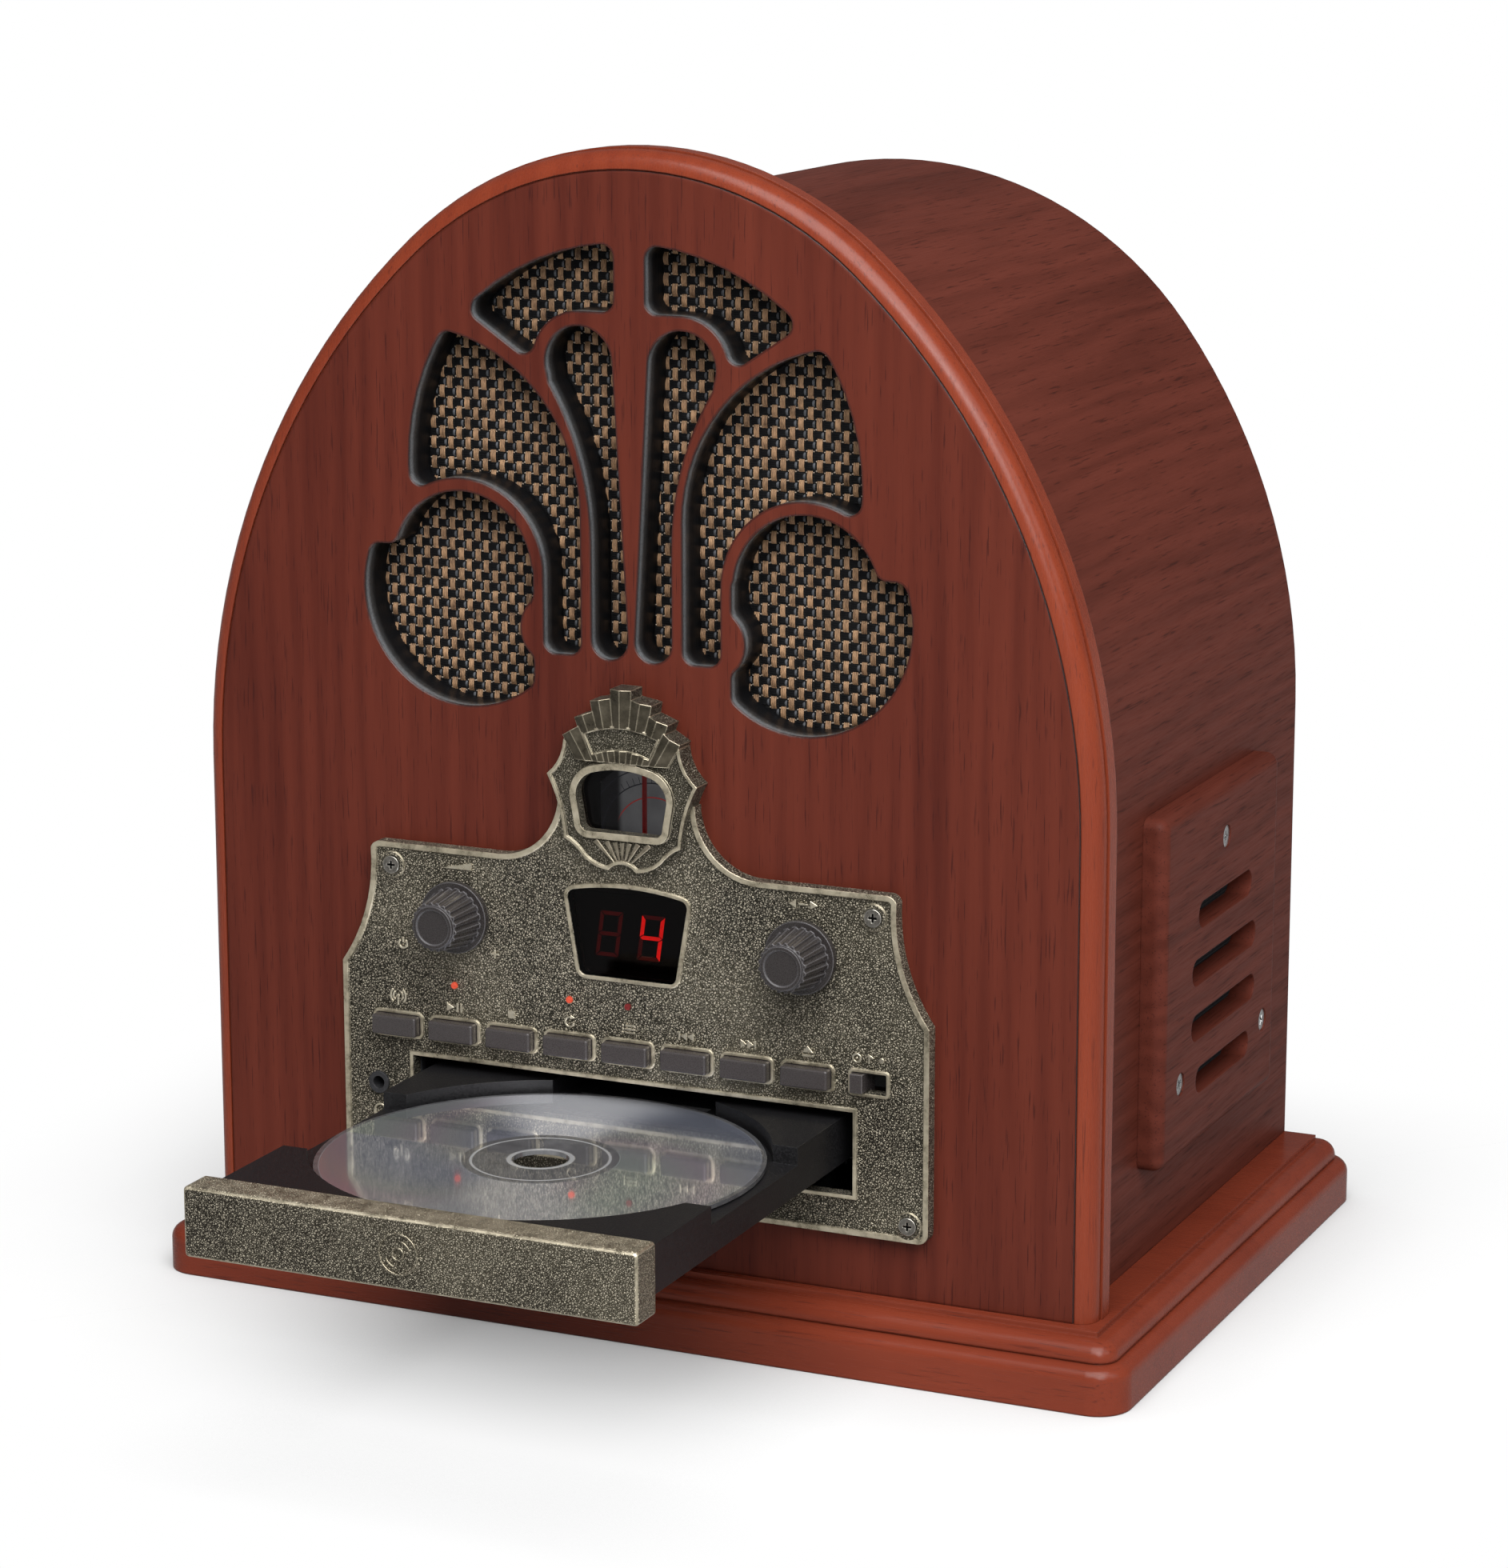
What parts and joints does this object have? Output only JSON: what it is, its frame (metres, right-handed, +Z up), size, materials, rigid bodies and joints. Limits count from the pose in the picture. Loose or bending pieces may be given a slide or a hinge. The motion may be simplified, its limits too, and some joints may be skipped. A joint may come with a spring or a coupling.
{
  "type": "tabletop radio and disc player",
  "caption": "Tabletop radio and disc player: arched wooden cabinet with a fan grille, brass control plate, knobs, buttons, dial window and a motor-driven disc tray standing open.",
  "frame": {"origin": "centre of the plinth's underside", "axes": "+Z up, front towards -Y (the tray opens along -Y), +X to the right seen from the front"},
  "size_m": [0.295, 0.3302, 0.3275],
  "materials": {
    "cabinet_wood": "satin varnish, dark red-brown, grain along the depth",
    "front_veneer": "satin varnish, red-brown, fine upright grain",
    "moulding_wood": "satin varnish, orange-brown",
    "plinth_wood": "satin varnish, red-brown",
    "basket_cloth": "basket weave in tan, brown and black",
    "black_cloth": "matt black",
    "antique_brass": "antique brass, leather-grain field and worn bright rims",
    "brown_plastic": "satin dark brown-grey",
    "black_plastic": "satin black",
    "white_plastic": "satin white",
    "smoked_lens": "clear gloss, smoked",
    "display_red": "black with red figures",
    "lamp_red": "clear red",
    "dial_print": "grey with printed arcs",
    "pointer_red": "red",
    "bright_steel": "brushed",
    "speaker_steel": "dark grey paint",
    "cone_paper": "matt black paper",
    "board_green": "green solder mask",
    "belt_rubber": "matt black",
    "cord_fibre": "matt tan",
    "disc_mirror": "mirror data side, rainbow sheen",
    "die_cast": "cast grey",
    "back_board": "painted dark fibreboard"
  },
  "bodies": {
    "cabinet": {"base_plinth": "plinth_wood", "cabinet_shell": "cabinet_wood", "front_panel": "front_veneer", "arch_moulding": "moulding_wood", "grille_cloth": "basket_cloth", "back_panel": "back_board", "back_panel_screws": "bright_steel", "mains_inlet": "black_plastic", "side_grille_left": "cabinet_wood", "side_grille_right": "cabinet_wood", "side_grille_cloths": "black_cloth", "side_grille_screws": "bright_steel", "left_speaker_frame": "speaker_steel", "right_speaker_frame": "speaker_steel", "speaker_cones": "cone_paper", "faceplate": "antique_brass", "faceplate_screws": "antique_brass", "dial_crest": "antique_brass", "dial_lens": "smoked_lens", "dial_tunnel": "black_plastic", "dial_pointer": "pointer_red", "dial_cord": "cord_fibre", "tuning_capacitor": "bright_steel", "display_lens": "smoked_lens", "display_module": "display_red", "indicator_leds": "lamp_red", "headphone_jack": "black_plastic", "control_board": "board_green", "switch_bodies": "black_plastic", "volume_potentiometer": "bright_steel", "loader_chassis": "black_plastic", "loader_screws": "bright_steel", "clamp_bridge": "bright_steel", "loading_motor": "bright_steel", "loading_belt": "belt_rubber", "main_board": "board_green", "power_transformer": "speaker_steel"},
    "tray": {"disc_tray": "black_plastic", "tray_front": "antique_brass"},
    "disc": {"compact_disc": "disc_mirror"},
    "drive_gear": {"tray_drive_gear": "white_plastic"},
    "drive_pulley": {"motor_pulley": "white_plastic"},
    "traverse": {"traverse_frame": "die_cast", "guide_rods": "bright_steel", "spindle_motor": "bright_steel"},
    "platter": {"turntable": "black_plastic"},
    "pickup": {"laser_pickup": "black_plastic"},
    "puck": {"clamp_puck": "white_plastic"},
    "volume": {"volume_knob": "brown_plastic"},
    "tuning": {"tuning_knob": "brown_plastic"},
    "dial": {"dial_disc": "dial_print"},
    "mode_switch": {"function_switch": "brown_plastic"},
    "band": {"band_button": "brown_plastic"},
    "play_pause": {"play_pause_button": "brown_plastic"},
    "stop": {"stop_button": "brown_plastic"},
    "repeat": {"repeat_button": "brown_plastic"},
    "program": {"program_button": "brown_plastic"},
    "skip_back": {"skip_back_button": "brown_plastic"},
    "skip_forward": {"skip_forward_button": "brown_plastic"},
    "open_close": {"open_close_button": "brown_plastic"}
  },
  "joints": [
    {"name": "tray_slide", "type": "slide", "parent": "cabinet", "child": "tray", "axis": [0, 1, 0], "range_m": [0, 0.1269]},
    {"name": "disc_turn", "type": "hinge", "parent": "tray", "child": "disc", "pos_m": [0, -0.14995, 0.065], "axis": [0, 0, 1], "continuous": true},
    {"name": "gear_turn", "type": "hinge", "parent": "cabinet", "child": "drive_gear", "pos_m": [-0.04, -0.0657, 0.059], "axis": [0, 0, 1], "range_deg": [-607, 0]},
    {"name": "pulley_turn", "type": "hinge", "parent": "cabinet", "child": "drive_pulley", "pos_m": [0.002, -0.0657, 0.056], "axis": [0, 0, 1], "range_deg": [-2022, 0]},
    {"name": "traverse_lift", "type": "hinge", "parent": "cabinet", "child": "traverse", "pos_m": [0, 0.05695, 0.051], "axis": [-1, 0, 0], "range_deg": [0, 5]},
    {"name": "platter_turn", "type": "hinge", "parent": "traverse", "child": "platter", "pos_m": [0, -0.02275, 0.04403], "axis": [0, -0.0872, 0.9962], "continuous": true},
    {"name": "pickup_slide", "type": "slide", "parent": "traverse", "child": "pickup", "axis": [0, 0.9962, 0.0872], "range_m": [0, 0.034]},
    {"name": "puck_turn", "type": "hinge", "parent": "cabinet", "child": "puck", "pos_m": [0, -0.02305, 0.07], "axis": [0, 0, 1], "continuous": true},
    {"name": "volume_turn", "type": "hinge", "parent": "cabinet", "child": "volume", "pos_m": [-0.0525, -0.093, 0.114], "axis": [0, 1, 0], "range_deg": [0, 300]},
    {"name": "tuning_turn", "type": "hinge", "parent": "cabinet", "child": "tuning", "pos_m": [0.0525, -0.093, 0.114], "axis": [0, 1, 0], "range_deg": [-180, 180]},
    {"name": "dial_turn", "type": "hinge", "parent": "cabinet", "child": "dial", "pos_m": [0, -0.079, 0.137], "axis": [0, 1, 0], "range_deg": [-45.5, 45.5]},
    {"name": "mode_slide", "type": "slide", "parent": "cabinet", "child": "mode_switch", "axis": [1, 0, 0], "range_m": [0, 0.006]},
    {"name": "band_press", "type": "slide", "parent": "cabinet", "child": "band", "axis": [0, 1, 0], "range_m": [0, 0.0008], "stiffness_N_per_m": 400},
    {"name": "play_pause_press", "type": "slide", "parent": "cabinet", "child": "play_pause", "axis": [0, 1, 0], "range_m": [0, 0.0008], "stiffness_N_per_m": 400},
    {"name": "stop_press", "type": "slide", "parent": "cabinet", "child": "stop", "axis": [0, 1, 0], "range_m": [0, 0.0008], "stiffness_N_per_m": 400},
    {"name": "repeat_press", "type": "slide", "parent": "cabinet", "child": "repeat", "axis": [0, 1, 0], "range_m": [0, 0.0008], "stiffness_N_per_m": 400},
    {"name": "program_press", "type": "slide", "parent": "cabinet", "child": "program", "axis": [0, 1, 0], "range_m": [0, 0.0008], "stiffness_N_per_m": 400},
    {"name": "skip_back_press", "type": "slide", "parent": "cabinet", "child": "skip_back", "axis": [0, 1, 0], "range_m": [0, 0.0008], "stiffness_N_per_m": 400},
    {"name": "skip_forward_press", "type": "slide", "parent": "cabinet", "child": "skip_forward", "axis": [0, 1, 0], "range_m": [0, 0.0008], "stiffness_N_per_m": 400},
    {"name": "open_close_press", "type": "slide", "parent": "cabinet", "child": "open_close", "axis": [0, 1, 0], "range_m": [0, 0.0008], "stiffness_N_per_m": 400}
  ],
  "couplings": [
    {"joint": "gear_turn", "follows": "tray_slide", "rad_per_m": -83.333},
    {"joint": "pulley_turn", "follows": "tray_slide", "rad_per_m": -277.78},
    {"joint": "dial_turn", "follows": "tuning_turn", "ratio": 0.25}
  ]
}
